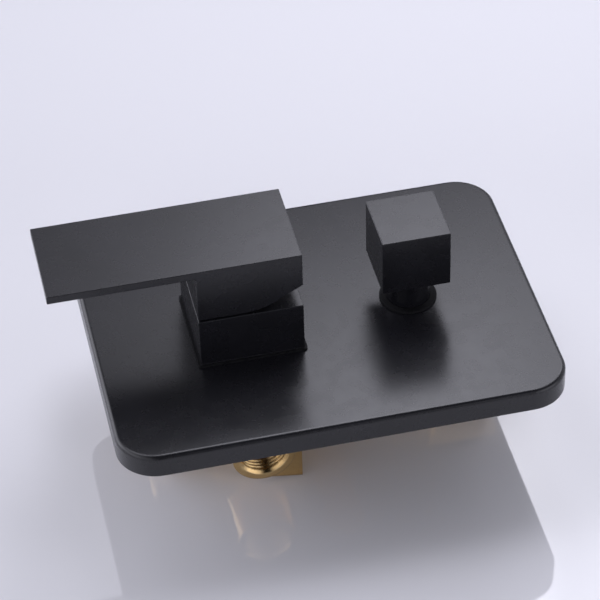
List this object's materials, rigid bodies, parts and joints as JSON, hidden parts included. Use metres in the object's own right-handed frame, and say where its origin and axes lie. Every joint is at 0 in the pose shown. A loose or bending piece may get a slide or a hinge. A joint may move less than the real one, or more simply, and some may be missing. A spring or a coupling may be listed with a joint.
{
  "type": "concealed bath mixer valve",
  "caption": "Wall mounted bath mixer: rounded rectangular cover plate, square lever and diverter knob over a brass valve body with threaded ports.",
  "frame": {"origin": "centre of the escutcheon plate on the wall plane, which is the rear rim of the plate's lip", "axes": "+Z out of the wall; +X along the plate's long side, from the lever's tip towards the diverter knob; +Y across the plate, towards the hot inlet. Installed, +X points up and the lever hangs down; the part is modelled lying on its back"},
  "size_m": [0.2062, 0.14, 0.1155],
  "materials": {
    "black_paint": "satin black powder coat",
    "black_rubber": "smooth moulded rubber",
    "grey_foam": "closed-cell foam strip",
    "cast_brass": "cast and machined brass",
    "white_nylon": "moulded cartridge plastic",
    "ceramic": "lapped ceramic",
    "stainless": "stainless steel",
    "black_plastic": "black moulded plastic"
  },
  "bodies": {
    "valve": {"valve_body": "cast_brass", "escutcheon_plate": "black_paint", "plate_wall_seal": "grey_foam", "sleeve_gasket": "black_rubber", "square_sleeve": "black_paint", "sleeve_o_rings": "black_rubber", "cartridge_casing": "white_nylon", "cartridge_base": "white_nylon", "cartridge_base_seals": "black_rubber", "fixed_ceramic_disc": "ceramic", "carrier_bearing_ring": "white_nylon", "retaining_nut": "cast_brass", "diverter_bonnet": "cast_brass", "bonnet_o_ring": "black_rubber", "diverter_sleeve": "black_paint", "diverter_gasket": "black_rubber", "diverter_seat_seal": "black_rubber", "diverter_fixed_disc": "ceramic", "spindle_thrust_washer": "white_nylon"},
    "carrier": {"cartridge_carrier": "white_nylon", "lever_pivot_pin": "stainless"},
    "lever": {"cartridge_spindle": "cast_brass", "lever_handle": "black_paint", "handle_set_screw": "stainless", "handle_screw_cap": "black_plastic"},
    "mixing_disc": {"moving_ceramic_disc": "ceramic", "disc_driver": "white_nylon"},
    "knob": {"diverter_moving_disc": "ceramic", "diverter_spindle": "cast_brass", "spindle_o_ring": "black_rubber", "diverter_knob": "black_paint", "knob_set_screw": "stainless", "knob_screw_cap": "black_plastic"}
  },
  "joints": [
    {"name": "temperature_turn", "type": "hinge", "parent": "valve", "child": "carrier", "pos_m": [-0.0301, 0, 0.0282], "axis": [0, 0, 1], "range_deg": [-45, 45]},
    {"name": "lever_lift", "type": "hinge", "parent": "carrier", "child": "lever", "pos_m": [-0.0301, 0, 0.0282], "axis": [0, 1, 0], "range_deg": [0, 18]},
    {"name": "disc_slide", "type": "slide", "parent": "carrier", "child": "mixing_disc", "axis": [1, 0, 0], "range_m": [-0.0056, 0]},
    {"name": "diverter_turn", "type": "hinge", "parent": "valve", "child": "knob", "pos_m": [0.0414, 0, 0.04], "axis": [0, 0, 1], "range_deg": [0, 90]}
  ],
  "couplings": [
    {"joint": "disc_slide", "follows": "lever_lift", "m_per_rad": -0.01763}
  ]
}
